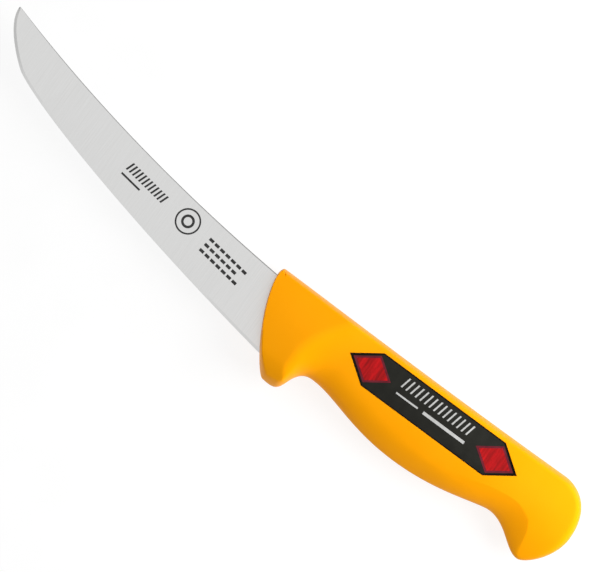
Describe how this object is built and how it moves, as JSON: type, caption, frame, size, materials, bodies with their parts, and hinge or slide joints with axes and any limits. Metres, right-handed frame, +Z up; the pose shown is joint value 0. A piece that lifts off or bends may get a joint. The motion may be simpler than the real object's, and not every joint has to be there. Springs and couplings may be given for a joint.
{
  "type": "boning knife",
  "caption": "Curved-blade boning knife lying on its side, with a moulded plastic grip that has a finger guard, a hooked butt and an inset label panel.",
  "frame": {"origin": "middle of the knife's bounding box in plan, at the surface that the knife lies on", "axes": "+X along the handle towards the butt, +Y across the knife towards its back, +Z up through the knife's thickness"},
  "size_m": [0.2622, 0.054, 0.024],
  "materials": {
    "blade_steel": "fine ground and glazed stainless steel",
    "handle_plastic": "smooth satin moulded plastic, warm yellow",
    "label_plastic": "satin charcoal plastic with a black border",
    "inlay_plastic": "satin red plastic with fine ribs across the handle, and a maroon rim"
  },
  "bodies": {
    "root": {"blade": "blade_steel", "handle": "handle_plastic", "label_plate_upper": "label_plastic", "inlay_upper_front": "inlay_plastic", "inlay_upper_rear": "inlay_plastic", "label_plate_under": "label_plastic", "inlay_under_front": "inlay_plastic", "inlay_under_rear": "inlay_plastic"}
  },
  "joints": []
}
